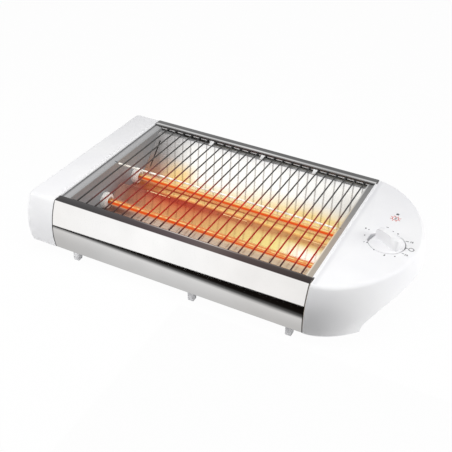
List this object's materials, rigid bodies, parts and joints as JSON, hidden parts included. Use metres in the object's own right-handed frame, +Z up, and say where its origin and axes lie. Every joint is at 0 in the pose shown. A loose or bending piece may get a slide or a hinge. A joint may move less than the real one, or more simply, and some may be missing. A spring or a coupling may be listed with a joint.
{
  "type": "flat quartz-tube toaster",
  "caption": "Flat toaster: wire grill over glowing quartz tubes between white end caps, with bright steel walls, a timer knob that turns and a crumb tray that slides out at the rear.",
  "frame": {"origin": "middle of the box around the toaster, on the plane that the feet stand on", "axes": "+X along the grill towards the control end, +Y from the front wall to the rear wall, +Z up"},
  "size_m": [0.398, 0.232, 0.0802],
  "materials": {
    "white_plastic": "smooth, softly glossy white",
    "bright_steel": "mirror-polished sheet",
    "grey_sheet": "plain galvanised sheet",
    "reflector_sheet": "bright rolled sheet",
    "grill_wire": "plated wire, heat-dulled",
    "quartz": "clear quartz",
    "glowing_coil": "resistance wire, glowing when on",
    "white_ceramic": "matt white steatite",
    "plated_steel": "zinc plated",
    "foot_plastic": "matt light grey",
    "timer_plastic": "heat-proof moulding",
    "contact_brass": "spring brass",
    "dark_lens": "dark translucent, unlit",
    "lamp_glass": "small neon lamp",
    "lead_sleeve": "woven glass sleeve over wire"
  },
  "bodies": {
    "body": {"left_end_cap": "white_plastic", "control_end_cap": "white_plastic", "front_panel": "bright_steel", "rear_panel": "bright_steel", "base_plate": "grey_sheet", "recess_cover": "white_plastic", "left_inner_plate": "grey_sheet", "right_inner_plate": "grey_sheet", "reflector": "reflector_sheet", "grill_wires": "grill_wire", "grill_rod": "grill_wire", "front_quartz_tube": "quartz", "rear_quartz_tube": "quartz", "front_heating_coil": "glowing_coil", "rear_heating_coil": "glowing_coil", "ceramic_front_left": "white_ceramic", "ceramic_front_right": "white_ceramic", "ceramic_rear_left": "white_ceramic", "ceramic_rear_right": "white_ceramic", "terminal_front_left": "plated_steel", "terminal_front_right": "plated_steel", "terminal_rear_left": "plated_steel", "terminal_rear_right": "plated_steel", "tube_link": "lead_sleeve", "foot_front_left": "foot_plastic", "foot_front_mid": "foot_plastic", "foot_front_right": "foot_plastic", "foot_rear_left": "foot_plastic", "foot_rear_mid": "foot_plastic", "foot_rear_right": "foot_plastic", "timer_case": "timer_plastic", "timer_plate": "grey_sheet", "timer_contacts": "contact_brass", "timer_bell": "plated_steel", "timer_screws": "plated_steel", "pilot_lens": "dark_lens", "pilot_lamp": "lamp_glass", "terminal_block": "white_ceramic", "cord_gland": "foot_plastic", "lead_live": "lead_sleeve", "lead_heater": "lead_sleeve", "lead_return": "lead_sleeve", "lead_lamp": "lead_sleeve", "left_cap_screws": "plated_steel", "control_cap_screws": "plated_steel", "plate_screws": "plated_steel", "tray_runner_left": "grey_sheet", "tray_runner_right": "grey_sheet"},
    "dial": {"knob": "white_plastic", "timer_shaft": "plated_steel", "timer_cam": "timer_plastic"},
    "tray": {"crumb_tray": "grey_sheet"}
  },
  "joints": [
    {"name": "knob_turn", "type": "hinge", "parent": "body", "child": "dial", "pos_m": [0.16185, -0.0078, 0.064], "axis": [0, 0, -1], "range_deg": [0, 300]},
    {"name": "tray_slide", "type": "slide", "parent": "body", "child": "tray", "axis": [0, 1, 0], "range_m": [0, 0.15]}
  ]
}
